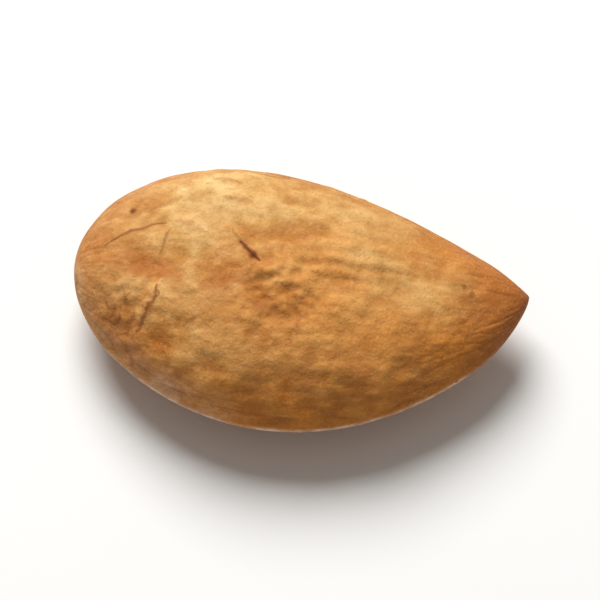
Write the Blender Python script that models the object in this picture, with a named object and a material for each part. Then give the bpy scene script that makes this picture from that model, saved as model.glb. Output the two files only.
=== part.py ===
"""A shelled almond kernel in its brown skin, lying on its broad side.

It grew as one piece, so it is one solid: a drop-shaped outline, round at the base and pointed at the tip,
with a cushion-shaped cross-section, a low keel along its two edges, shallow ribs that run from end to end,
a sunken scar at the base and a small flat spot below, which it rests on.

X runs from the base to the tip, Z is up and the origin is under the middle of the kernel's box.
"""

import math

import bmesh
import bpy
from mathutils import Matrix, Vector, noise

MM = 0.001

# The kernel's overall size
LENGTH = 24.0 * MM
WIDTH = 14.6 * MM
THICKNESS = 7.4 * MM

# How much of the thickness lies above the keel
UPPER_SHARE = 0.52

# The outline seen from above: how round the base is, how sharp the tip is and how blunt its end is
BASE_ROUNDNESS = 0.64
TIP_SHARPNESS = 0.90
TIP_BLUNTNESS = 0.979
TIP_ROUNDING = 60

# The midline bows out to one side, most of all towards the tip
BOW = 1.58 * MM
BOW_RISE = 1.4
BOW_FALL = 0.6

# The side view and the cross-section: 2 is an ellipse, and more is squarer
BASE_DEPTH_ROUNDNESS = 0.50
TIP_DEPTH_SHARPNESS = 0.72
SECTION_POWER = 2.2

# Facets of the solid
FACETS_AROUND = 112
FACETS_ALONG = 50

# Low, broad unevenness of the faces
LUMP_SIZE = 5.0 * MM
LUMP_HEIGHT = 0.22 * MM

# Ribs with narrow valleys between them, all running from the base to the tip and swaying a little
RIB_PITCH = 2.6 * MM
RIB_RUN = 12.0 * MM
RIB_SWAY = 0.6
RIB_SWAY_PITCH = 1.25
SWAYS_APART = Vector((0.0, 17.3, 31.7))
RIB_NARROWEST = 0.35
VALLEY_DEPTH = 0.16 * MM
VALLEY_SHARE = 0.55

# Where ribs and lumps fade out: over a share of the length at each end, and towards the keel
END_FADE = 0.10
KEEL_CALM = 1.6 * MM

# The keel along both edges
KEEL_HEIGHT = 0.18 * MM
KEEL_WIDTH = 0.75 * MM

# The scar where the kernel was fed, at the base
SCAR_RADIUS = 1.3 * MM
SCAR_DEPTH = 0.22 * MM

# The flat spot that it rests on
REST_CUT = 0.12 * MM
REST_CALM_RADIUS = 5.5 * MM

SKIN_COLOUR = (0.53, 0.27, 0.095, 1.0)
SKIN_ROUGHNESS = 0.72


def taper(share, base_power, tip_power):
    """A curve that is 0 at both ends and 1 at its widest: the powers set how full it is towards each end."""
    widest = base_power / (base_power + tip_power)
    return (share / widest) ** base_power * ((1 - share) / (1 - widest)) ** tip_power


def closing(share):
    """1 nearly everywhere, and falls to 0 at the very tip to round it off."""
    return math.sqrt(max(0.0, 1 - share**TIP_ROUNDING))


def half_width(share):
    return WIDTH / 2 * taper(share * TIP_BLUNTNESS, BASE_ROUNDNESS, TIP_SHARPNESS) * closing(share)


def half_depth(share, above):
    depth = THICKNESS * (UPPER_SHARE if above else 1 - UPPER_SHARE)
    return depth * taper(share * TIP_BLUNTNESS, BASE_DEPTH_ROUNDNESS, TIP_DEPTH_SHARPNESS) * closing(share)


def midline(share):
    """Y of the middle of the outline, which bows towards -Y."""
    return -BOW * taper(share, BOW_RISE, BOW_FALL)


def smooth_point(direction):
    """The point of the smooth kernel for a direction of the unit sphere, whose poles are the base and the tip."""
    share = min(1.0, max(0.0, (1 + direction.x) / 2))
    turn = math.atan2(direction.z, direction.y)
    across = math.cos(turn)
    up = math.sin(turn)
    reach = (abs(across) ** SECTION_POWER + abs(up) ** SECTION_POWER) ** (-1 / SECTION_POWER)
    return Vector((
        LENGTH * (share - 0.5),
        midline(share) + half_width(share) * reach * across,
        half_depth(share, up > 0) * reach * up,
    ))


def share_along(point):
    return min(1.0, max(0.0, point.x / LENGTH + 0.5))


def smooth_step(value):
    value = min(1.0, max(0.0, value))
    return value * value * (3 - 2 * value)


def end_fade(share):
    """0 at the base and the tip and 1 between them."""
    return smooth_step(share / END_FADE) * smooth_step((1 - share) / END_FADE)


def lumps(point):
    return LUMP_HEIGHT * noise.noise(point / LUMP_SIZE)


def valleys(point):
    """Narrow grooves between ribs. They draw together towards both ends, as the ribs do."""
    share = share_along(point)
    narrowing = max(RIB_NARROWEST, math.sqrt(half_width(share) / (WIDTH / 2)))
    pitch = RIB_PITCH * narrowing
    place = Vector((point.x / RIB_RUN, (point.y - midline(share)) / pitch, point.z / pitch))
    slow = place / RIB_SWAY_PITCH
    place.y += RIB_SWAY * noise.noise(slow + SWAYS_APART)
    place.z += RIB_SWAY * noise.noise(slow - SWAYS_APART)
    nearness = max(0.0, 1 - abs(noise.noise(place)) / VALLEY_SHARE)
    return -VALLEY_DEPTH * smooth_step(nearness) * narrowing


def keel(point):
    """A low crest where the upper and the lower face meet."""
    share = share_along(point)
    return KEEL_HEIGHT * math.exp(-((point.z / KEEL_WIDTH) ** 2)) * end_fade(share)


def scar(point):
    if point.x > 0:
        return 0.0
    from_base = math.hypot(point.y, point.z) / SCAR_RADIUS
    return -SCAR_DEPTH * math.exp(-(from_base**2))


def calm(point):
    """0 over the flat spot and 1 away from it, so that no rib breaks the flat spot's rim."""
    if point.z > 0:
        return 1.0
    away = math.hypot(point.x, point.y - midline(share_along(point)))
    return smooth_step(away / REST_CALM_RADIUS)


def relief(point):
    """Height of the surface over the smooth kernel."""
    off_keel = 1 - math.exp(-((point.z / KEEL_CALM) ** 2))
    faces = (lumps(point) + valleys(point)) * calm(point) * end_fade(share_along(point)) * off_keel
    return faces + keel(point) + scar(point)


def raise_relief(mesh):
    mesh.normal_update()
    moves = [relief(vertex.co) * vertex.normal for vertex in mesh.verts]
    for vertex, move in zip(mesh.verts, moves):
        vertex.co += move


def cut_flat_spot(mesh):
    """Slices the lowest bulge off and closes it with one flat face."""
    lowest = min(vertex.co.z for vertex in mesh.verts)
    everything = mesh.verts[:] + mesh.edges[:] + mesh.faces[:]
    cut = bmesh.ops.bisect_plane(
        mesh, geom=everything, plane_co=(0, 0, lowest + REST_CUT), plane_no=(0, 0, -1), clear_outer=True
    )
    rim = [item for item in cut["geom_cut"] if isinstance(item, bmesh.types.BMEdge)]
    bmesh.ops.contextual_create(mesh, geom=rim)


def bring_to_size(mesh):
    """Gives the kernel exactly its overall size and stands it on the origin."""
    corners = [vertex.co for vertex in mesh.verts]
    low = Vector([min(corner[axis] for corner in corners) for axis in range(3)])
    high = Vector([max(corner[axis] for corner in corners) for axis in range(3)])
    foot = Vector(((low.x + high.x) / 2, (low.y + high.y) / 2, low.z))
    size = high - low
    bmesh.ops.translate(mesh, verts=mesh.verts, vec=-foot)
    bmesh.ops.scale(mesh, verts=mesh.verts, vec=(LENGTH / size.x, WIDTH / size.y, THICKNESS / size.z))


def skin_material():
    material = bpy.data.materials.new("brown_skin")
    material.use_nodes = True
    shader = material.node_tree.nodes["Principled BSDF"]
    shader.inputs["Base Color"].default_value = SKIN_COLOUR
    shader.inputs["Roughness"].default_value = SKIN_ROUGHNESS
    return material


def kernel_object(collection):
    mesh = bmesh.new()
    poles_to_x = Matrix.Rotation(math.pi / 2, 4, "Y")
    bmesh.ops.create_uvsphere(
        mesh, u_segments=FACETS_AROUND, v_segments=FACETS_ALONG, radius=1, matrix=poles_to_x
    )
    for vertex in mesh.verts:
        vertex.co = smooth_point(vertex.co.normalized())
    raise_relief(mesh)
    cut_flat_spot(mesh)
    bring_to_size(mesh)
    bmesh.ops.recalc_face_normals(mesh, faces=mesh.faces)

    data = bpy.data.meshes.new("almond_kernel")
    mesh.to_mesh(data)
    mesh.free()
    data.materials.append(skin_material())
    data.shade_smooth()
    kernel = bpy.data.objects.new("almond_kernel", data)
    collection.objects.link(kernel)


def main():
    for thing in list(bpy.data.objects):
        bpy.data.objects.remove(thing)
    almond = bpy.data.collections.new("almond")
    bpy.context.scene.collection.children.link(almond)
    kernel_object(almond)


main()
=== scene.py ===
"""A shelled almond kernel in its brown skin, on a white floor in soft light from behind.

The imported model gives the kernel's box and place. This script raises a finer kernel in the same shape,
with wrinkles, veins, cracks and a grainy skin, and adds the floor, the light and the camera.

Lengths are in metres. X runs from the round base to the tip, and Z is up.
"""

import math

import bmesh
import bpy
from mathutils import Matrix, Vector, noise


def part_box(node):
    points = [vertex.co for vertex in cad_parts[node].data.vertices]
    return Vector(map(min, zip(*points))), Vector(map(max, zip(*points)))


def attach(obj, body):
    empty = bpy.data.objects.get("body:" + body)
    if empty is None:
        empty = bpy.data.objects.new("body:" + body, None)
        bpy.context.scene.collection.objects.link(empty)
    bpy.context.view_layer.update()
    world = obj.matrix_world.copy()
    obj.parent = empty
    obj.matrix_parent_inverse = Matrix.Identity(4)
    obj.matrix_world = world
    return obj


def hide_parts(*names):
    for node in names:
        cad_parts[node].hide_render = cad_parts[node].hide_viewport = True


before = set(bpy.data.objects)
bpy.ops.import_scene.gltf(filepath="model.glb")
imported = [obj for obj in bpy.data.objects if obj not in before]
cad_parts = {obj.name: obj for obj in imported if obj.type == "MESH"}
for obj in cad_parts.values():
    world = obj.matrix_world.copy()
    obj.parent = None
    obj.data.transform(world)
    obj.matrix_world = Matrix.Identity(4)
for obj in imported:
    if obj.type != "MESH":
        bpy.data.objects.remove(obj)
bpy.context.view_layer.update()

MM = 0.001
ALONG = (1.0, 0.0, 0.0)
ACROSS = (0.0, 1.0, 0.0)
UP = (0.0, 0.0, 1.0)

# The kernel's form, the same as the solid's
LENGTH = 24.0 * MM
WIDTH = 14.6 * MM
THICKNESS = 7.4 * MM
UPPER_SHARE = 0.52
BASE_ROUNDNESS = 0.64
TIP_SHARPNESS = 0.90
TIP_BLUNTNESS = 0.979
TIP_ROUNDING = 60
BOW = 1.58 * MM
BOW_RISE = 1.4
BOW_FALL = 0.6
BASE_DEPTH_ROUNDNESS = 0.50
TIP_DEPTH_SHARPNESS = 0.72
SECTION_POWER = 2.2
LUMP_SIZE = 5.0 * MM
LUMP_HEIGHT = 0.22 * MM
SWAYS_APART = Vector((0.0, 17.3, 31.7))
SWAY_PITCH = 1.25
NARROWEST = 0.35
END_FADE = 0.10
KEEL_CALM = 1.6 * MM
KEEL_HEIGHT = 0.18 * MM
KEEL_WIDTH = 0.75 * MM
SCAR_RADIUS = 1.3 * MM
SCAR_DEPTH = 0.22 * MM
REST_CUT = 0.12 * MM
REST_CALM_RADIUS = 5.5 * MM

# Height of the keel over the floor
KEEL_LEVEL = 3.55 * MM

# Lines that run from the base to the tip: their pitch, run and sway, the share of the pitch that a line
# takes, and where in the noise they start
VALLEYS = {"pitch": 2.6 * MM, "run": 12.0 * MM, "sway": 0.6, "share": 0.55, "seed": 0.0}
VALLEY_DEPTH = 0.16 * MM
WRINKLES = {"pitch": 1.15 * MM, "run": 5.0 * MM, "sway": 1.0, "share": 0.50, "seed": 5.7}
WRINKLE_DEPTH = 0.095 * MM
VEINS = {"pitch": 0.85 * MM, "run": 9.0 * MM, "sway": 0.9, "share": 0.22, "seed": 11.3}
VEIN_DEPTH = 0.060 * MM

# The share of the length, at each end, over which lines fade out
LINE_FADE = 0.04

# The upper face is smoother than the flanks and the underside: how much of the lines and of the veins it
# keeps, and over what height
UPPER_LINES = 0.40
UPPER_VEINS = 0.25
UPPER_LINES_OVER = 2.6 * MM

# How the wrinkles come and go over the faces, with more of them towards the ends, and how near the keel
# they reach
WRINKLE_PATCH = 3.4 * MM
WRINKLED_SHARE = 0.30
WRINKLED_CONTRAST = 1.5
WRINKLED_ENDS = 0.6
WRINKLED_LEAST_AT = 0.45
WRINKLE_CALM = 0.40 * MM

# Soft folds between them, and dimples, which reach nearer to the keel
FOLD_SIZE = 2.1 * MM
FOLD_HEIGHT = 0.20 * MM
FOLD_STRETCH = 0.8
DIMPLES = ((1.0 * MM, 0.100 * MM), (0.48 * MM, 0.040 * MM))
DIMPLE_CALM = 0.45 * MM

# How far the surface sinks where it counts as a full hollow, which gets painted shade; as high, a swelling
# gets painted light
HOLLOW_DEPTH = 0.14 * MM

# How much a valley and a wrinkle each count as a groove, which gets browner painted shade
VALLEY_GROOVE = 0.55
WRINKLE_GROOVE = 0.9

# Crumpled places of the upper face, as (x, y) seen from above, radius, size of a crumple and height
CRUMPLES = (
    (Vector((-0.9, -1.7)) * MM, 2.1 * MM, 0.80 * MM, 0.38 * MM),
    (Vector((-0.9, -1.9)) * MM, 2.3 * MM, 0.36 * MM, 0.14 * MM),
    (Vector((-9.0, -1.9)) * MM, 1.4 * MM, 0.50 * MM, 0.10 * MM),
    (Vector((-7.9, 2.4)) * MM, 1.8 * MM, 0.55 * MM, 0.09 * MM),
)

# Dents and swellings of the upper face, as (x, y) seen from above, radius and height
DENTS = (
    (Vector((-4.6, -2.8)) * MM, 1.5 * MM, -0.12 * MM),
    (Vector((-2.0, -2.4)) * MM, 0.7 * MM, -0.18 * MM),
    (Vector((-0.1, -3.1)) * MM, 0.6 * MM, -0.18 * MM),
    (Vector((-1.2, -1.1)) * MM, 0.6 * MM, 0.16 * MM),
    (Vector((0.3, -1.6)) * MM, 0.8 * MM, 0.18 * MM),
    (Vector((-2.6, -4.2)) * MM, 1.7 * MM, 0.20 * MM),
    (Vector((1.4, -3.9)) * MM, 1.6 * MM, 0.14 * MM),
    (Vector((1.0, -5.7)) * MM, 1.2 * MM, -0.10 * MM),
    (Vector((-6.9, -4.4)) * MM, 1.2 * MM, -0.12 * MM),
    (Vector((-1.3, 2.2)) * MM, 1.0 * MM, -0.08 * MM),
    (Vector((-2.5, 0.1)) * MM, 0.6 * MM, 0.08 * MM),
)

# Low ripples right of the middle, side by side
RIPPLES_AT = Vector((2.3, 0.0)) * MM
RIPPLES_LENGTH = 3.6 * MM
RIPPLES_BREADTH = 1.2 * MM
RIPPLE_PITCH = 0.85 * MM
RIPPLE_HEIGHT = 0.050 * MM
RIPPLE_WAVER = 0.8

# A thin crest on the keel, and the pale band along it: dusty in part, and in part a painted highlight on
# its edge
CREST_HEIGHT = 0.08 * MM
CREST_WIDTH = 0.30 * MM
KEEL_BAND_LOW = 0.05 * MM
KEEL_BAND_WIDTH = 0.25 * MM

# Facets of the fine kernel; evenness makes them as wide on the faces as on the keel
FACETS_AROUND = 290
FACETS_ALONG = 326
FACET_EVENNESS = 1.35

# Marks on the upper face, as (x, y) seen from above
SLIT = (Vector((-3.3, 1.75)) * MM, Vector((-2.1, 0.65)) * MM)
SLIT_LIP = (SLIT[0] + Vector((0.35, -0.45)) * MM, SLIT[1] + Vector((0.55, -0.25)) * MM)
SLIT_TAIL = (Vector((-3.7, 2.5)) * MM, Vector((-3.2, 1.65)) * MM)
BASE_CRACK = (
    Vector((-10.3, 1.6)) * MM,
    Vector((-9.6, 2.05)) * MM,
    Vector((-8.7, 2.4)) * MM,
    Vector((-7.2, 2.8)) * MM,
)
SHORT_CRACK = (Vector((-7.0, 2.4)) * MM, Vector((-7.4, 0.9)) * MM)
CREASE = (
    Vector((-7.45, -0.8)) * MM,
    Vector((-7.40, -1.4)) * MM,
    Vector((-7.85, -2.1)) * MM,
    Vector((-8.25, -3.1)) * MM,
)
BLUSH_BAND = (Vector((-10.6, 1.0)) * MM, Vector((-8.4, 0.3)) * MM, Vector((-6.1, -0.5)) * MM)
STREAKS = (
    (Vector((-5.0, 5.7)) * MM, Vector((-3.5, 5.5)) * MM),
    (Vector((-4.3, 4.4)) * MM, Vector((-2.8, 4.2)) * MM),
    (Vector((-8.1, 3.8)) * MM, Vector((-6.6, 4.4)) * MM),
    (Vector((-6.6, 2.9)) * MM, Vector((-5.0, 2.1)) * MM),
)
NICKS = (
    (Vector((-10.1, -1.4)) * MM, Vector((-9.9, -1.9)) * MM),
    (Vector((-9.7, -2.5)) * MM, Vector((-9.2, -2.2)) * MM),
    (Vector((-9.1, -1.4)) * MM, Vector((-8.8, -1.8)) * MM),
    (Vector((-8.9, -2.7)) * MM, Vector((-8.5, -2.3)) * MM),
    (Vector((-5.9, -2.9)) * MM, Vector((-5.2, -2.6)) * MM),
)

# Relief of the marks, as (path, height, width)
MARK_RELIEF = (
    (SLIT, -0.14 * MM, 0.17 * MM),
    (SLIT_LIP, 0.10 * MM, 0.32 * MM),
    (BASE_CRACK, -0.06 * MM, 0.16 * MM),
    (SHORT_CRACK, -0.05 * MM, 0.16 * MM),
    (CREASE, -0.15 * MM, 0.26 * MM),
)

# Finely crackled places of the upper face, as (x, y) seen from above, radius, size of a cell and strength,
# and how far a crack reaches into its cell
CRACKLES = (
    (Vector((-9.1, -2.1)) * MM, 1.3 * MM, 0.75 * MM, 0.65),
    (Vector((-0.7, -2.1)) * MM, 1.5 * MM, 1.10 * MM, 0.45),
)
CRACKLE_EDGE = 0.16

# How far the edges of patches and of fine marks wander, each over its own distance
PATCH_WOBBLE = {"sway": 0.55 * MM, "size": 0.45 * MM}
MARK_WOBBLE = {"sway": 0.45 * MM, "size": 1.1 * MM}

# Drawn lines are thinner towards both ends: from and to where, in shares of half their length, and how
# much thinner. Their width also wavers, by a noise of this size.
LINE_THINS_FROM = 0.4
LINE_THINS_TO = 1.1
LINE_THINNESS = 2.5
LINE_WAVER_SIZE = 0.6 * MM
LINE_WAVER = (0.35, 0.65, 0.8, 1.4)

# Soft edges of patches and sharper ones of crackled places and specks, in shares of the radius
SOFT_EDGE = 0.9
SHARP_EDGE = 0.6

# Orange patches, brown smudges (some of them painted shade), painted highlights and dark specks, as
# (centre, radius, strength)
BLUSHES = (
    (Vector((-8.3, 0.5)) * MM, 0.60 * MM, 0.50),
    (Vector((-7.4, 0.0)) * MM, 0.55 * MM, 0.60),
    (Vector((-6.6, -0.3)) * MM, 0.50 * MM, 0.45),
    (Vector((-10.9, 1.7)) * MM, 0.75 * MM, 0.40),
    (Vector((-3.9, 1.0)) * MM, 0.95 * MM, 0.45),
    (Vector((-3.8, -0.4)) * MM, 1.10 * MM, 0.35),
    (Vector((3.9, -5.1)) * MM, 0.55 * MM, 0.50),
)
# Those at y = -3.4 mm and lower are painted shade where the face turns down to the -Y flank
SMUDGES_AND_SHOULDER_SHADE = (
    (Vector((-1.7, 3.9)) * MM, 0.32 * MM, 0.40),
    (Vector((1.9, 4.6)) * MM, 0.30 * MM, 0.40),
    (Vector((0.1, -2.65)) * MM, 0.26 * MM, 0.75),
    (Vector((-1.9, -1.8)) * MM, 0.45 * MM, 0.50),
    (Vector((6.1, -3.4)) * MM, 0.85 * MM, 0.40),
    (Vector((6.0, -2.1)) * MM, 0.30 * MM, 0.35),
    (Vector((0.6, -5.2)) * MM, 0.70 * MM, 0.60),
    (Vector((0.7, -4.2)) * MM, 0.45 * MM, 0.40),
    (Vector((9.3, -0.85)) * MM, 0.35 * MM, 0.40),
    (Vector((-7.8, -2.05)) * MM, 0.26 * MM, 0.60),
    (Vector((-8.2, -3.2)) * MM, 0.40 * MM, 0.20),
    (Vector((-9.3, -1.9)) * MM, 1.10 * MM, 0.12),
    (Vector((-6.3, -0.5)) * MM, 0.50 * MM, 0.25),
    (Vector((-4.3, -2.0)) * MM, 1.20 * MM, 0.22),
    (Vector((-1.2, -1.6)) * MM, 1.90 * MM, 0.22),
    (Vector((3.0, -4.9)) * MM, 0.80 * MM, 0.50),
    (Vector((-2.0, -5.3)) * MM, 0.90 * MM, 0.45),
    (Vector((-1.1, 2.3)) * MM, 0.80 * MM, 0.20),
    (Vector((-6.3, 5.3)) * MM, 0.30 * MM, 0.35),
)
# Painted highlights where rises of the upper face catch the light
PAINTED_HIGHLIGHTS = (
    (Vector((-5.9, -3.9)) * MM, 1.60 * MM, 0.85),
    (Vector((-3.0, -4.3)) * MM, 1.50 * MM, 0.50),
    (Vector((-5.2, 4.2)) * MM, 1.60 * MM, 0.30),
    (Vector((6.4, -4.2)) * MM, 0.22 * MM, 0.90),
)
SPECKS = (
    (Vector((-9.0, 3.7)) * MM, 0.19 * MM, 0.90),
    (Vector((8.5, 0.7)) * MM, 0.15 * MM, 0.50),
    (Vector((9.0, 0.3)) * MM, 0.18 * MM, 0.50),
)

# What dark blotches and the painted shade in hollows, pale blotches and the painted light on swellings,
# and the painted highlights multiply the skin's colour by
DARKENING = (0.76, 0.60, 0.40, 1.0)
PALING = (1.22, 1.34, 1.55, 1.0)
PAINTED_HIGHLIGHT_TINT = (1.10, 1.32, 1.75, 1.0)

# Colours of the skin
GOLDEN = (0.54, 0.240, 0.057, 1.0)
# Partly painted light: paler on the +Y side, which faces the lamp
PALE_GOLDEN_AND_PAINTED_LIGHT = (0.60, 0.360, 0.124, 1.0)
# Partly painted shade: browner on the -Y flank, which faces away from the lamp
FLANK_BROWN_AND_PAINTED_SHADE = (0.54, 0.190, 0.025, 1.0)
FLANK_GOLDEN = (0.47, 0.190, 0.038, 1.0)
FIBRE_BROWN = (0.37, 0.140, 0.034, 1.0)
# Painted shade in the grooves
GROOVE_SHADE_BROWN = (0.38, 0.125, 0.022, 1.0)
VEIN_BROWN = (0.30, 0.100, 0.025, 1.0)
# Dusty in part, and in part a painted highlight where the keel's edge catches the light
KEEL_DUST_AND_HIGHLIGHT_PINK = (0.78, 0.54, 0.38, 1.0)
# Painted light on the flank near the base, where it turns
FLANK_PAINTED_LIGHT_GREY = (0.64, 0.360, 0.185, 1.0)
TIP_RED = (0.29, 0.083, 0.019, 1.0)
BASE_BROWN = (0.46, 0.215, 0.065, 1.0)
SCAR_BROWN = (0.30, 0.120, 0.035, 1.0)
SCAR_RIM = (0.62, 0.380, 0.185, 1.0)
BLUSH_ORANGE = (0.46, 0.145, 0.030, 1.0)
# Also painted shade where the face turns down to the -Y flank
SMUDGE_AND_SHADE_BROWN = (0.33, 0.115, 0.026, 1.0)
SCURF_PALE = (0.82, 0.54, 0.26, 1.0)
PORE_BROWN = (0.30, 0.115, 0.028, 1.0)
# Also painted shade in the crease
CRACK_AND_CREASE_SHADE_BROWN = (0.22, 0.070, 0.017, 1.0)
SPECK_DARK = (0.13, 0.032, 0.006, 1.0)

# Lines of the upper face, in the order in which they are laid on, as (how the edges wander, path, width,
# strength, colour)
LINES = (
    ("patch", BLUSH_BAND, 1.10 * MM, 0.45, BLUSH_ORANGE),
    *(("patch", streak, 0.42 * MM, 0.42, SMUDGE_AND_SHADE_BROWN) for streak in STREAKS),
    *(("patch", nick, 0.26 * MM, 0.50, CRACK_AND_CREASE_SHADE_BROWN) for nick in NICKS),
    ("mark", BASE_CRACK, 0.20 * MM, 0.80, CRACK_AND_CREASE_SHADE_BROWN),
    ("mark", SHORT_CRACK, 0.17 * MM, 0.50, CRACK_AND_CREASE_SHADE_BROWN),
    # The crease's dark line is painted shade in the fold
    ("patch", CREASE, 0.27 * MM, 0.85, CRACK_AND_CREASE_SHADE_BROWN),
    ("mark", SLIT_TAIL, 0.16 * MM, 0.45, CRACK_AND_CREASE_SHADE_BROWN),
    ("patch", SLIT, 0.80 * MM, 0.40, BLUSH_ORANGE),
    ("mark", SLIT, 0.34 * MM, 1.0, SPECK_DARK),
)

# Noises of the skin: broad drifts, blotches, small spots, patches of the pale keel band and of the flank's
# painted light, and of fibres, fibres, scurf, the breaks in the crackled places, gloss, the grain that is
# felt, and pits
DRIFT = {"size": 4.5 * MM, "detail": 3.0, "stretch": (0.55, 1.0, 1.0)}
BLOTCHES = {"size": 1.2 * MM, "detail": 4.0, "roughness": 0.6, "stretch": (0.8, 1.0, 1.0), "shift": 3.0}
SPOTS = {"size": 0.42 * MM, "detail": 3.0, "stretch": (0.7, 1.0, 1.0), "shift": 6.0}
DUST_AND_LIGHT_PATCHES = {"size": 1.6 * MM, "detail": 6.0, "roughness": 0.7, "shift": 13.0}
FIBRE_PATCHES = {"size": 3.0 * MM, "detail": 2.0, "shift": 8.0}
FIBRES = {
    "size": 0.26 * MM,
    "detail": 4.0,
    "roughness": 0.6,
    "distortion": 0.3,
    "stretch": (0.16, 1.0, 1.0),
    "shift": 1.0,
}
SCURF = {"size": 0.15 * MM, "detail": 3.0, "roughness": 0.6, "shift": 5.0}
CRACKLE_BREAKS = {"size": 0.7 * MM, "shift": 17.0}
GLOSS = {"size": 0.8 * MM, "shift": 7.0}
GRAIN = {"size": 0.36 * MM, "detail": 4.0, "roughness": 0.6, "shift": 9.0}
PITS = {"size": 2.6 * MM, "shift": 15.0}

# Smooth steps, as (start, end) or (start, end, value at the start, value at the end). First those that
# tell the upper face, and the broad faces, from the rest
UPPER_FACE = (3.2 * MM, 4.2 * MM)
UPPER_BROAD = (3.9 * MM, 6.6 * MM)
LOWER_BROAD = (2.6 * MM, 1.0 * MM)
DRIFT_BROAD = (0.30, 0.70, -0.35, 0.25)

# From the golden side to the paler one, on the faces and on the flanks; the paler +Y side faces the lamp
# and is partly painted light
DRIFT_ACROSS = (0.30, 0.70, -2.0 * MM, 2.0 * MM)
FACE_PALES = (-3.5 * MM, 4.5 * MM)
FLANK_PALES = (-2.0 * MM, 3.0 * MM)

# Dark and pale blotches and spots, painted shade in the hollows and painted light on the swellings, all
# calmer towards the tip
BLOTCH_DARK = (0.50, 0.68, 0.0, 0.60)
BLOTCH_PALE = (0.49, 0.34, 0.0, 0.55)
SPOT_DARK = (0.52, 0.70, 0.0, 0.45)
SPOT_PALE = (0.48, 0.30, 0.0, 0.40)
# Painted shade in the hollows and painted light on the swellings
HOLLOW_PAINTED_SHADE = (0.10, 1.00, 0.0, 0.85)
SWELLING_PAINTED_LIGHT = (-0.10, -1.00, 0.0, 0.45)
TIP_CALMER = (0.0, 5.0 * MM, 1.0, 0.65)

# Fibres, which are stronger on the flanks, painted shade in the grooves, and veins
FIBRE_PATCHY = (0.40, 0.62, 0.02, 0.16)
FIBRE_FLANK = (5.8 * MM, 4.2 * MM, 0.0, 0.30)
FIBRE_SHARE = (0.44, 0.66)
GROOVE_SHARE = (0.1, 1.0, 0.0, 0.62)
VEIN_SHARE = (0.1, 1.0, 0.0, 0.55)

# The grey-brown on the flank near the base, painted light where the flank turns, and the pale keel band,
# dusty in
# part and in part a painted highlight: how patchy they are, where the flank's lies near the base, how both
# keep towards -Y, how far the flank's lies from the keel's level, and how much lies on the keel
DUST_AND_LIGHT_PATCHY = (0.34, 0.60, 0.20, 1.0)
FLANK_LIGHT_NEAR_BASE = (-1.0 * MM, -7.0 * MM, 0.0, 0.95)
DUST_AND_LIGHT_TO_FRONT = (3.0 * MM, -2.0 * MM, 0.35, 1.0)
FLANK_LIGHT_OFF_KEEL = (2.0 * MM, 0.5 * MM)
KEEL_DUST_AND_HIGHLIGHT_SHARE = (0.15, 0.9)

# The red tip and the brown base, and how patchy the scar and the orange patches are
TIP_REDDENS = (7.5 * MM, 11.6 * MM)
TIP_PATCHY = (0.25, 0.55, 0.70, 0.92)
BASE_BROWNS = (-6.0 * MM, -11.0 * MM, 0.0, 0.62)
BLUSH_PATCHY = (0.34, 0.60, 0.3, 1.0)

# Scurf, pores, pits, the breaks in the crackled places, and roughness
SCURF_SHARE = (0.54, 0.72, 0.0, 0.18)
PORE_SHARE = (0.46, 0.30, 0.0, 0.34)
PIT_SHARE = (0.02, 0.045, 0.65, 0.0)
CRACKLE_BROKEN = (0.42, 0.56)
ROUGHNESS = (0.3, 0.7, 0.62, 0.82)

# The scar at the base: its rim and its middle, as (radius, strength, colour), and the share of the
# radius that has the full colour
SCAR_TINTS = ((1.7 * MM, 0.55, SCAR_RIM), (1.0 * MM, 0.80, SCAR_BROWN))
SCAR_CORE = 0.5

# How deep the grain, the fibres and the scurf are felt
GRAIN_DEPTH = 0.09 * MM
FIBRE_DEPTH = 0.008 * MM
SCURF_DEPTH = 0.016 * MM

# What is the same all over the skin
SKIN_VALUES = {
    "Specular IOR Level": 0.16,
    "Subsurface Weight": 0.04,
    "Subsurface Radius": (1.0, 0.45, 0.2),
    "Subsurface Scale": 0.5 * MM,
    "Sheen Weight": 0.10,
    "Sheen Roughness": 0.25,
    "Sheen Tint": (1.0, 0.82, 0.68, 1.0),
}

# The view: the photograph looks down on the kernel's broad face, nearly square to its length
VIEW_AZIMUTH = math.radians(4.0)
VIEW_ELEVATION = math.radians(68.0)
VIEW_WIDTH = 31.5 * MM
LENS = 400.0
SENSOR = 36.0
NEAREST_SEEN = 0.01

# The floor, the lamp above and behind, and the light of the room
FLOOR_SIZE = 2.0
FLOOR_WHITE = (0.82, 0.82, 0.81, 1.0)
FLOOR_ROUGHNESS = 0.9
LAMP_AZIMUTH = math.radians(198)
LAMP_ELEVATION = math.radians(50)
LAMP_DISTANCE = 0.45
LAMP_SIZE = 0.30
LAMP_WATTS = 2.85
ROOM_WHITE = (1.0, 0.96, 0.91, 1.0)
ROOM_STRENGTH = 0.275


def taper(share, base_power, tip_power):
    """0 at both ends and 1 at the widest place: the powers set how full the curve is towards each end."""
    widest = base_power / (base_power + tip_power)
    return (share / widest) ** base_power * ((1 - share) / (1 - widest)) ** tip_power


def closing(share):
    """1 nearly everywhere, and falls to 0 at the very tip to round it off."""
    return math.sqrt(max(0.0, 1 - share**TIP_ROUNDING))


def half_width(share):
    return WIDTH / 2 * taper(share * TIP_BLUNTNESS, BASE_ROUNDNESS, TIP_SHARPNESS) * closing(share)


def half_depth(share, above):
    depth = THICKNESS * (UPPER_SHARE if above else 1 - UPPER_SHARE)
    shape = taper(share * TIP_BLUNTNESS, BASE_DEPTH_ROUNDNESS, TIP_DEPTH_SHARPNESS)
    return depth * shape * closing(share)


def midline(share):
    """Y of the middle of the outline, which bows towards -Y."""
    return -BOW * taper(share, BOW_RISE, BOW_FALL)


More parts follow.
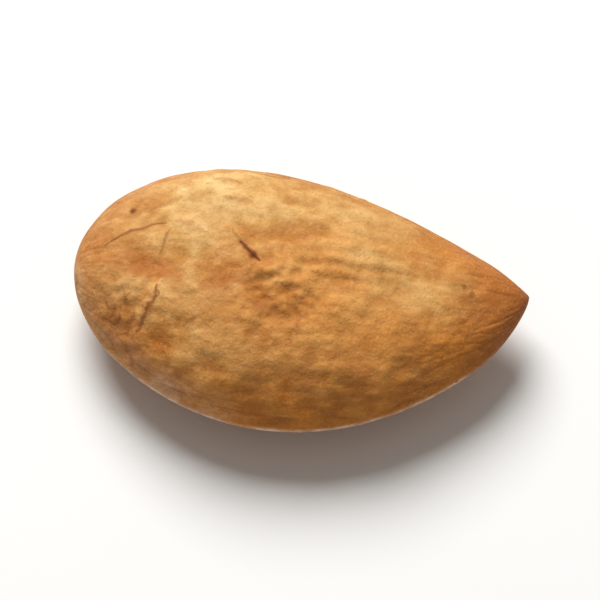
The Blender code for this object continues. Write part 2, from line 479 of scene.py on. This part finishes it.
def smooth_point(direction):
    """The smooth kernel's point for a direction of a unit sphere with poles at the base and the tip."""
    share = min(1.0, max(0.0, (1 + direction.x) / 2))
    turn = math.atan2(FACET_EVENNESS * direction.z, direction.y)
    across = math.cos(turn)
    up = math.sin(turn)
    reach = (abs(across) ** SECTION_POWER + abs(up) ** SECTION_POWER) ** (-1 / SECTION_POWER)
    return Vector((
        LENGTH * (share - 0.5),
        midline(share) + half_width(share) * reach * across,
        half_depth(share, up > 0) * reach * up,
    ))


def share_along(point):
    return min(1.0, max(0.0, point.x / LENGTH + 0.5))


def smooth_step(value):
    value = min(1.0, max(0.0, value))
    return value * value * (3 - 2 * value)


def bell(distance, width):
    return math.exp(-((distance / width) ** 2))


def end_fade(share, reach):
    """0 at the base and the tip and 1 between them."""
    return smooth_step(share / reach) * smooth_step((1 - share) / reach)


def calm(point):
    """0 over the flat spot and 1 away from it."""
    if point.z > 0:
        return 1.0
    away = math.hypot(point.x, point.y - midline(share_along(point)))
    return smooth_step(away / REST_CALM_RADIUS)


def narrowing(share):
    """How far the lines have drawn together: 1 where the kernel is widest."""
    return max(NARROWEST, math.sqrt(half_width(share) / (WIDTH / 2)))


def line_nearness(point, pitch, run, sway, share, seed):
    """1 on a line from the base to the tip, 0 away from it. Lines draw together towards both ends."""
    along = share_along(point)
    pitch *= narrowing(along)
    place = Vector((point.x / run + seed, (point.y - midline(along)) / pitch, point.z / pitch))
    slow = place / SWAY_PITCH
    place.y += sway * noise.noise(slow + SWAYS_APART)
    place.z += sway * noise.noise(slow - SWAYS_APART)
    return smooth_step(1 - abs(noise.noise(place)) / share)


def patchiness(point):
    """Where the skin is wrinkled: 0 to 1 in broad patches, and more towards the ends."""
    slow = WRINKLED_CONTRAST * noise.noise(point / WRINKLE_PATCH + SWAYS_APART)
    ends = WRINKLED_ENDS * abs(share_along(point) - WRINKLED_LEAST_AT)
    return smooth_step(WRINKLED_SHARE + slow + ends)


def off_keel(point, reach):
    """0 on the keel and 1 on the faces, so that the outline stays smooth."""
    return 1 - bell(point.z, reach)


def upper_forms(point):
    """Height of the crumpled places, the dents and the ripples of the upper face."""
    if point.z < 0:
        return 0.0
    height = 0.0
    for centre, radius, size, rise in CRUMPLES:
        crumple = rise * noise.noise(point / size - SWAYS_APART)
        height += crumple * bell((point.xy - centre).length, radius)
    for centre, radius, rise in DENTS:
        height += rise * bell((point.xy - centre).length, radius)
    along, across = point.xy - RIPPLES_AT
    waver = RIPPLE_WAVER * noise.noise(point / RIPPLES_LENGTH)
    wave = math.cos(math.tau * (across / RIPPLE_PITCH + waver))
    height += RIPPLE_HEIGHT * wave * bell(along, RIPPLES_LENGTH) * bell(across, RIPPLES_BREADTH)
    return height


def from_path(point, path):
    """Distance on the upper face from a path of straight stretches, seen from above."""
    nearest = math.inf
    for start, end in zip(path, path[1:]):
        stretch = end - start
        share = min(1.0, max(0.0, (point.xy - start).dot(stretch) / stretch.length_squared))
        nearest = min(nearest, (point.xy - start - share * stretch).length)
    return nearest


def upper_marks(point):
    """Height of the slit, its lip, the cracks and the crease in the upper face."""
    if point.z < 0:
        return 0.0
    return sum(rise * bell(from_path(point, path), width) for path, rise, width in MARK_RELIEF)


def skin_heights(point):
    """Height over the smooth kernel, and how much groove, vein, pale keel band and hollow lies at the
    point.
    """
    share = share_along(point)
    fade = end_fade(share, END_FADE)
    quiet = calm(point) * fade
    tight = narrowing(share)
    upper = smooth_step(point.z / UPPER_LINES_OVER)
    lines = (1 - (1 - UPPER_LINES) * upper) * end_fade(share, LINE_FADE)
    valley = line_nearness(point, **VALLEYS) * off_keel(point, KEEL_CALM) * lines * fade
    wrinkle = line_nearness(point, **WRINKLES) * patchiness(point)
    wrinkle *= off_keel(point, WRINKLE_CALM) * lines
    vein = line_nearness(point, **VEINS) * off_keel(point, WRINKLE_CALM) * end_fade(share, LINE_FADE)
    vein *= 1 - (1 - UPPER_VEINS) * upper

    fold = FOLD_HEIGHT * noise.noise(Vector((FOLD_STRETCH * point.x, point.y, point.z)) / FOLD_SIZE)
    dimples = sum(rise * noise.noise(point / size) for size, rise in DIMPLES)
    uneven = fold * quiet * off_keel(point, KEEL_CALM) + dimples * quiet * off_keel(point, DIMPLE_CALM)
    uneven += upper_forms(point)
    height = uneven + upper_marks(point)
    height += LUMP_HEIGHT * noise.noise(point / LUMP_SIZE) * quiet * off_keel(point, KEEL_CALM)
    depth = VALLEY_DEPTH * valley + WRINKLE_DEPTH * wrinkle + VEIN_DEPTH * vein
    height -= depth * tight * calm(point)
    keel = KEEL_HEIGHT * bell(point.z, KEEL_WIDTH) + CREST_HEIGHT * bell(point.z, CREST_WIDTH)
    height += keel * fade
    if point.x < 0:
        height -= SCAR_DEPTH * bell(math.hypot(point.y, point.z), SCAR_RADIUS)
    return height, {
        "groove": max(VALLEY_GROOVE * valley, WRINKLE_GROOVE * wrinkle),
        "vein": vein,
        # The pale keel band: dusty in part, and in part a painted highlight
        "keel_dust_and_highlight": bell(point.z + KEEL_BAND_LOW, KEEL_BAND_WIDTH) * fade,
        "hollow": min(1.0, max(-1.0, -uneven / HOLLOW_DEPTH)),
    }


def bring_to_box(mesh, low, high):
    """Presses what lies below the flat spot flat, and fits the kernel to the solid's box."""
    foot = min(vertex.co.z for vertex in mesh.verts) + REST_CUT
    for vertex in mesh.verts:
        vertex.co.z = max(vertex.co.z, foot)
    corners = [vertex.co for vertex in mesh.verts]
    least = Vector([min(corner[axis] for corner in corners) for axis in range(3)])
    most = Vector([max(corner[axis] for corner in corners) for axis in range(3)])
    for vertex in mesh.verts:
        for axis in range(3):
            share = (vertex.co[axis] - least[axis]) / (most[axis] - least[axis])
            vertex.co[axis] = low[axis] + share * (high[axis] - low[axis])


def kernel_piece():
    mesh = bmesh.new()
    poles_to_x = Matrix.Rotation(math.pi / 2, 4, "Y")
    bmesh.ops.create_uvsphere(
        mesh, u_segments=FACETS_AROUND, v_segments=FACETS_ALONG, radius=1, matrix=poles_to_x
    )
    for vertex in mesh.verts:
        vertex.co = smooth_point(vertex.co.normalized())
    mesh.normal_update()
    raised = [skin_heights(vertex.co) for vertex in mesh.verts]
    moves = [height * vertex.normal for vertex, (height, _) in zip(mesh.verts, raised)]
    for vertex, move in zip(mesh.verts, moves):
        vertex.co += move
    low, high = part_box("almond_kernel")
    bring_to_box(mesh, low, high)

    data = bpy.data.meshes.new("kernel_skin")
    mesh.to_mesh(data)
    mesh.free()
    for name in ("groove", "vein", "keel_dust_and_highlight", "hollow"):
        attribute = data.attributes.new(name, "FLOAT", "POINT")
        attribute.data.foreach_set("value", [traits[name] for _, traits in raised])
    data.shade_smooth()
    piece = bpy.data.objects.new("kernel_skin", data)
    bpy.context.scene.collection.objects.link(piece)
    return piece


class Shader:
    """Adds nodes to one material, so that each layer of the skin takes a few lines."""

    def __init__(self, name):
        self.material = bpy.data.materials.new(name)
        self.material.use_nodes = True
        self.tree = self.material.node_tree
        self.principled = self.tree.nodes["Principled BSDF"]

    def link(self, value, socket):
        if isinstance(value, bpy.types.NodeSocket):
            self.tree.links.new(value, socket)
        else:
            socket.default_value = value

    def place(self, stretch=(1.0, 1.0, 1.0), shift=0.0):
        """Positions on the kernel. A stretch below 1 draws features out along that axis."""
        coordinates = self.tree.nodes.new("ShaderNodeTexCoord")
        mapping = self.tree.nodes.new("ShaderNodeMapping")
        mapping.inputs["Scale"].default_value = stretch
        mapping.inputs["Location"].default_value = (shift, shift, shift)
        self.tree.links.new(coordinates.outputs["Object"], mapping.inputs["Vector"])
        return mapping.outputs["Vector"]

    def noise(
        self, size, detail=4.0, roughness=0.55, distortion=0.0, stretch=(1.0, 1.0, 1.0), shift=0.0
    ):
        """Noise whose features are about the given size, in metres."""
        texture = self.tree.nodes.new("ShaderNodeTexNoise")
        texture.inputs["Scale"].default_value = 1 / size
        texture.inputs["Detail"].default_value = detail
        texture.inputs["Roughness"].default_value = roughness
        texture.inputs["Distortion"].default_value = distortion
        self.link(self.place(stretch, shift), texture.inputs["Vector"])
        return texture.outputs["Fac"]

    def cells(self, size, feature="F1", place=None, shift=0.0):
        """Distances in a pattern of cells of the given size, in shares of that size."""
        texture = self.tree.nodes.new("ShaderNodeTexVoronoi")
        texture.feature = feature
        texture.inputs["Scale"].default_value = 1 / size
        self.link(place or self.place(shift=shift), texture.inputs["Vector"])
        return texture.outputs["Distance"]

    def attribute(self, name):
        node = self.tree.nodes.new("ShaderNodeAttribute")
        node.attribute_name = name
        return node.outputs["Fac"]

    def math(self, operation, first, second=0.0, clamp=False):
        node = self.tree.nodes.new("ShaderNodeMath")
        node.operation = operation
        node.use_clamp = clamp
        self.link(first, node.inputs[0])
        self.link(second, node.inputs[1])
        return node.outputs["Value"]

    def vector_math(self, operation, first, second):
        node = self.tree.nodes.new("ShaderNodeVectorMath")
        node.operation = operation
        self.link(first, node.inputs[0])
        self.link(second, node.inputs["Scale" if operation == "SCALE" else 1])
        return node.outputs["Value" if operation in ("DOT_PRODUCT", "DISTANCE") else "Vector"]

    def coordinate(self, axis):
        """Position along one axis of the kernel."""
        return self.vector_math("DOT_PRODUCT", self.place(), axis)

    def step(self, value, start, end, low=0.0, high=1.0):
        """Goes smoothly from low to high as the value goes from start to end."""
        node = self.tree.nodes.new("ShaderNodeMapRange")
        node.interpolation_type = "SMOOTHSTEP"
        self.link(value, node.inputs["Value"])
        node.inputs["From Min"].default_value = start
        node.inputs["From Max"].default_value = end
        node.inputs["To Min"].default_value = low
        node.inputs["To Max"].default_value = high
        return node.outputs["Result"]

    def mix(self, share, under, over, blend="MIX"):
        node = self.tree.nodes.new("ShaderNodeMix")
        node.data_type = "RGBA"
        node.blend_type = blend
        self.link(share, node.inputs["Factor"])
        self.link(under, node.inputs[6])
        self.link(over, node.inputs[7])
        return node.outputs[2]

    def bump(self, height, depth, under=None):
        node = self.tree.nodes.new("ShaderNodeBump")
        node.inputs["Distance"].default_value = depth
        self.link(height, node.inputs["Height"])
        if under:
            self.link(under, node.inputs["Normal"])
        return node.outputs["Normal"]

    def plan(self, sway, size):
        """Positions seen from above, moved to and fro so that marks aren't drawn with a ruler."""
        texture = self.tree.nodes.new("ShaderNodeTexNoise")
        texture.inputs["Scale"].default_value = 1 / size
        self.link(self.place(), texture.inputs["Vector"])
        move = self.vector_math("SUBTRACT", texture.outputs["Color"], (0.5, 0.5, 0.5))
        move = self.vector_math("MULTIPLY", move, (sway, sway, 0.0))
        flat = self.vector_math("MULTIPLY", self.place(), (1.0, 1.0, 0.0))
        return self.vector_math("ADD", flat, move)

    def near_path(self, plan, path, width):
        """1 on a path on the upper face, 0 beyond its width. It thins towards both ends."""
        nearest = None
        for start, end in zip(path, path[1:]):
            stretch = (end - start).to_3d()
            offset = self.vector_math("SUBTRACT", plan, start.to_3d())
            along = self.vector_math("DOT_PRODUCT", offset, stretch / stretch.length_squared)
            foot = self.vector_math("SCALE", stretch, self.math("MAXIMUM", along, 0.0, clamp=True))
            distance = self.vector_math("DISTANCE", offset, foot)
            nearest = distance if nearest is None else self.math("MINIMUM", nearest, distance)
        reach = (path[-1] - path[0]).length / 2
        from_middle = self.vector_math("DISTANCE", plan, ((path[0] + path[-1]) / 2).to_3d())
        thins = (LINE_THINS_FROM * reach, LINE_THINS_TO * reach, 1.0, LINE_THINNESS)
        nearest = self.math("MULTIPLY", nearest, self.step(from_middle, *thins))
        nearest = self.math("MULTIPLY", nearest, self.step(self.noise(LINE_WAVER_SIZE), *LINE_WAVER))
        return self.math("MULTIPLY", self.step(nearest, 0.0, width, 1.0, 0.0), self.upper_face())

    def near_spot(self, plan, centre, radius, softness):
        """1 at a spot on the upper face, 0 away from it."""
        distance = self.vector_math("DISTANCE", plan, centre.to_3d())
        near = self.step(distance, radius * (1 - softness), radius * (1 + softness), 1.0, 0.0)
        return self.math("MULTIPLY", near, self.upper_face())

    def upper_face(self):
        """1 on the upper face and 0 on the lower."""
        return self.step(self.coordinate(UP), *UPPER_FACE)


def faces_and_flanks(skin, drift):
    """Golden on the broad faces and browner on the flanks, partly as painted shade; both paler towards +Y,
    partly as painted light on the lamp's side; with broad drifts.
    """
    across = skin.math("ADD", skin.coordinate(ACROSS), skin.step(drift, *DRIFT_ACROSS))
    face = skin.mix(skin.step(across, *FACE_PALES), GOLDEN, PALE_GOLDEN_AND_PAINTED_LIGHT)
    flank = skin.mix(skin.step(across, *FLANK_PALES), FLANK_BROWN_AND_PAINTED_SHADE, FLANK_GOLDEN)
    height = skin.coordinate(UP)
    broad = skin.math("ADD", skin.step(height, *UPPER_BROAD), skin.step(height, *LOWER_BROAD))
    broad = skin.math("ADD", broad, skin.step(drift, *DRIFT_BROAD), clamp=True)
    return skin.mix(broad, flank, face)


def blotched(skin, colour, spots):
    """Adds blotches and small spots, painted shade in the hollows and painted light on the swellings, all
    less so towards the tip.
    """
    blotch = skin.noise(**BLOTCHES)
    hollow = skin.attribute("hollow")
    calmer = skin.step(skin.coordinate(ALONG), *TIP_CALMER)
    for value, share, tint in (
        (blotch, BLOTCH_DARK, DARKENING),
        (blotch, BLOTCH_PALE, PALING),
        (spots, SPOT_DARK, DARKENING),
        (spots, SPOT_PALE, PALING),
        (hollow, HOLLOW_PAINTED_SHADE, DARKENING),
        (hollow, SWELLING_PAINTED_LIGHT, PALING),
    ):
        calmed = skin.math("MULTIPLY", skin.step(value, *share), calmer)
        colour = skin.mix(calmed, colour, tint, "MULTIPLY")
    return colour


def lined(skin, colour, fibre):
    """Adds fibres in patches, painted shade in the grooves, and veins, all running from the base to the
    tip.
    """
    fibrous = skin.step(skin.noise(**FIBRE_PATCHES), *FIBRE_PATCHY)
    fibrous = skin.math("ADD", fibrous, skin.step(skin.coordinate(UP), *FIBRE_FLANK))
    fibrous = skin.math("MULTIPLY", skin.step(fibre, *FIBRE_SHARE), fibrous)
    colour = skin.mix(fibrous, colour, FIBRE_BROWN)
    colour = skin.mix(skin.step(skin.attribute("groove"), *GROOVE_SHARE), colour, GROOVE_SHADE_BROWN)
    return skin.mix(skin.step(skin.attribute("vein"), *VEIN_SHARE), colour, VEIN_BROWN)


def dusted_and_lit(skin, colour):
    """Adds painted light in grey-brown on the flank near the base, and a pale keel band, dusty in part and
    in part a painted highlight, mostly towards -Y.
    """
    patchy = skin.step(skin.noise(**DUST_AND_LIGHT_PATCHES), *DUST_AND_LIGHT_PATCHY)
    near_base = skin.step(skin.coordinate(ALONG), *FLANK_LIGHT_NEAR_BASE)
    to_front = skin.step(skin.coordinate(ACROSS), *DUST_AND_LIGHT_TO_FRONT)
    off_keel_level = skin.math("ABSOLUTE", skin.math("SUBTRACT", skin.coordinate(UP), KEEL_LEVEL))
    flank = skin.math("MULTIPLY", skin.step(off_keel_level, *FLANK_LIGHT_OFF_KEEL), near_base)
    flank = skin.math("MULTIPLY", skin.math("MULTIPLY", flank, to_front), patchy)
    colour = skin.mix(flank, colour, FLANK_PAINTED_LIGHT_GREY)
    keel = skin.math("MULTIPLY", skin.step(skin.attribute("keel_dust_and_highlight"), *KEEL_DUST_AND_HIGHLIGHT_SHARE), to_front)
    return skin.mix(skin.math("MULTIPLY", keel, patchy), colour, KEEL_DUST_AND_HIGHLIGHT_PINK)


def reddened(skin, colour, drift, spots, plan):
    """Reddens the tip, browns the base and its scar, and adds orange patches on the upper face."""
    along = skin.coordinate(ALONG)
    tip = skin.math("MULTIPLY", skin.step(along, *TIP_REDDENS), skin.step(drift, *TIP_PATCHY))
    colour = skin.mix(tip, colour, TIP_RED)
    colour = skin.mix(skin.step(along, *BASE_BROWNS), colour, BASE_BROWN)
    from_scar = skin.vector_math("DISTANCE", skin.place(), (-LENGTH / 2, 0.0, KEEL_LEVEL))
    patchy = skin.step(spots, *BLUSH_PATCHY)
    for reach, strength, tint in SCAR_TINTS:
        near = skin.step(from_scar, reach, SCAR_CORE * reach, 0.0, strength)
        colour = skin.mix(skin.math("MULTIPLY", near, patchy), colour, tint)
    for centre, radius, strength in BLUSHES:
        blush = skin.math("MULTIPLY", skin.near_spot(plan, centre, radius, SOFT_EDGE), patchy)
        colour = skin.mix(skin.math("MULTIPLY", blush, strength), colour, BLUSH_ORANGE)
    return colour


def grainy(skin, colour, scurf):
    """Adds pale scurf, dark pores and a few scattered pits."""
    colour = skin.mix(skin.step(scurf, *SCURF_SHARE), colour, SCURF_PALE)
    colour = skin.mix(skin.step(scurf, *PORE_SHARE), colour, PORE_BROWN)
    return skin.mix(skin.step(skin.cells(**PITS), *PIT_SHARE), colour, CRACK_AND_CREASE_SHADE_BROWN)


def marked(skin, colour, plan):
    """Adds the crackled places, painted highlights, smudges and painted shade, streaks, cracks, the
    crease's painted shade, the slit and specks of the upper face.
    """
    plans = {"patch": plan, "mark": skin.plan(**MARK_WOBBLE)}
    for centre, radius, size, strength in CRACKLES:
        cells = skin.cells(size, "DISTANCE_TO_EDGE", place=plans["mark"])
        edge = skin.step(cells, 0.0, CRACKLE_EDGE, strength, 0.0)
        broken = skin.step(skin.noise(**CRACKLE_BREAKS), *CRACKLE_BROKEN)
        near = skin.math("MULTIPLY", skin.near_spot(plan, centre, radius, SHARP_EDGE), broken)
        colour = skin.mix(skin.math("MULTIPLY", near, edge), colour, CRACK_AND_CREASE_SHADE_BROWN)
    # Painted highlights
    for centre, radius, strength in PAINTED_HIGHLIGHTS:
        near = skin.near_spot(plan, centre, radius, SOFT_EDGE)
        colour = skin.mix(skin.math("MULTIPLY", near, strength), colour, PAINTED_HIGHLIGHT_TINT, "MULTIPLY")
    # Smudges, some of them painted shade
    for centre, radius, strength in SMUDGES_AND_SHOULDER_SHADE:
        near = skin.near_spot(plan, centre, radius, SOFT_EDGE)
        colour = skin.mix(skin.math("MULTIPLY", near, strength), colour, SMUDGE_AND_SHADE_BROWN)
    for edges, path, width, strength, tint in LINES:
        near = skin.near_path(plans[edges], path, width)
        colour = skin.mix(skin.math("MULTIPLY", near, strength), colour, tint)
    for centre, radius, strength in SPECKS:
        near = skin.near_spot(plans["mark"], centre, radius, SHARP_EDGE)
        colour = skin.mix(skin.math("MULTIPLY", near, strength), colour, SPECK_DARK)
    return colour


def skin_material():
    skin = Shader("brown_skin")
    plan = skin.plan(**PATCH_WOBBLE)
    drift = skin.noise(**DRIFT)
    spots = skin.noise(**SPOTS)
    fibre = skin.noise(**FIBRES)
    scurf = skin.noise(**SCURF)

    colour = faces_and_flanks(skin, drift)
    colour = dusted_and_lit(skin, colour)
    colour = reddened(skin, colour, drift, spots, plan)
    colour = blotched(skin, colour, spots)
    colour = lined(skin, colour, fibre)
    colour = grainy(skin, colour, scurf)
    colour = marked(skin, colour, plan)

    normal = skin.bump(skin.noise(**GRAIN), GRAIN_DEPTH)
    normal = skin.bump(fibre, FIBRE_DEPTH, normal)
    normal = skin.bump(scurf, SCURF_DEPTH, normal)

    skin.link(colour, skin.principled.inputs["Base Color"])
    skin.link(skin.step(skin.noise(**GLOSS), *ROUGHNESS), skin.principled.inputs["Roughness"])
    skin.link(normal, skin.principled.inputs["Normal"])
    for name, value in SKIN_VALUES.items():
        skin.principled.inputs[name].default_value = value
    return skin.material


def floor_piece():
    mesh = bmesh.new()
    bmesh.ops.create_grid(mesh, x_segments=1, y_segments=1, size=FLOOR_SIZE / 2)
    data = bpy.data.meshes.new("floor")
    mesh.to_mesh(data)
    mesh.free()
    white = bpy.data.materials.new("floor_white")
    white.use_nodes = True
    shader = white.node_tree.nodes["Principled BSDF"]
    shader.inputs["Base Color"].default_value = FLOOR_WHITE
    shader.inputs["Roughness"].default_value = FLOOR_ROUGHNESS
    data.materials.append(white)
    floor = bpy.data.objects.new("floor", data)
    bpy.context.scene.collection.objects.link(floor)


def looking(azimuth, elevation):
    """The direction from the kernel towards a viewer. Azimuth 0 is at -Y."""
    flat = math.cos(elevation)
    return Vector((math.sin(azimuth) * flat, -math.cos(azimuth) * flat, math.sin(elevation)))


def aimed(thing, place, target):
    thing.location = place
    thing.rotation_euler = (target - place).to_track_quat("-Z", "Y").to_euler()
    bpy.context.scene.collection.objects.link(thing)


def lamp_above(target):
    lamp = bpy.data.lights.new("key", "AREA")
    lamp.shape = "DISK"
    lamp.size = LAMP_SIZE
    lamp.energy = LAMP_WATTS
    place = target + looking(LAMP_AZIMUTH, LAMP_ELEVATION) * LAMP_DISTANCE
    aimed(bpy.data.objects.new("key", lamp), place, target)


def set_stage(target):
    floor_piece()
    lamp_above(target)
    world = bpy.data.worlds.new("white_room")
    world.use_nodes = True
    background = world.node_tree.nodes["Background"]
    background.inputs["Color"].default_value = ROOM_WHITE
    background.inputs["Strength"].default_value = ROOM_STRENGTH
    bpy.context.scene.world = world
    bpy.context.scene.view_settings.view_transform = "Standard"


def set_camera(target):
    camera = bpy.data.objects.new("camera", bpy.data.cameras.new("camera"))
    camera.data.lens = LENS
    camera.data.sensor_width = SENSOR
    camera.data.clip_start = NEAREST_SEEN
    distance = LENS * VIEW_WIDTH / SENSOR
    aimed(camera, target + looking(VIEW_AZIMUTH, VIEW_ELEVATION) * distance, target)
    bpy.context.scene.camera = camera


low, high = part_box("almond_kernel")
middle = (Vector(low) + Vector(high)) / 2
kernel = kernel_piece()
kernel.data.materials.append(skin_material())
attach(kernel, "root")
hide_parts("almond_kernel")
set_stage(middle)
set_camera(middle)
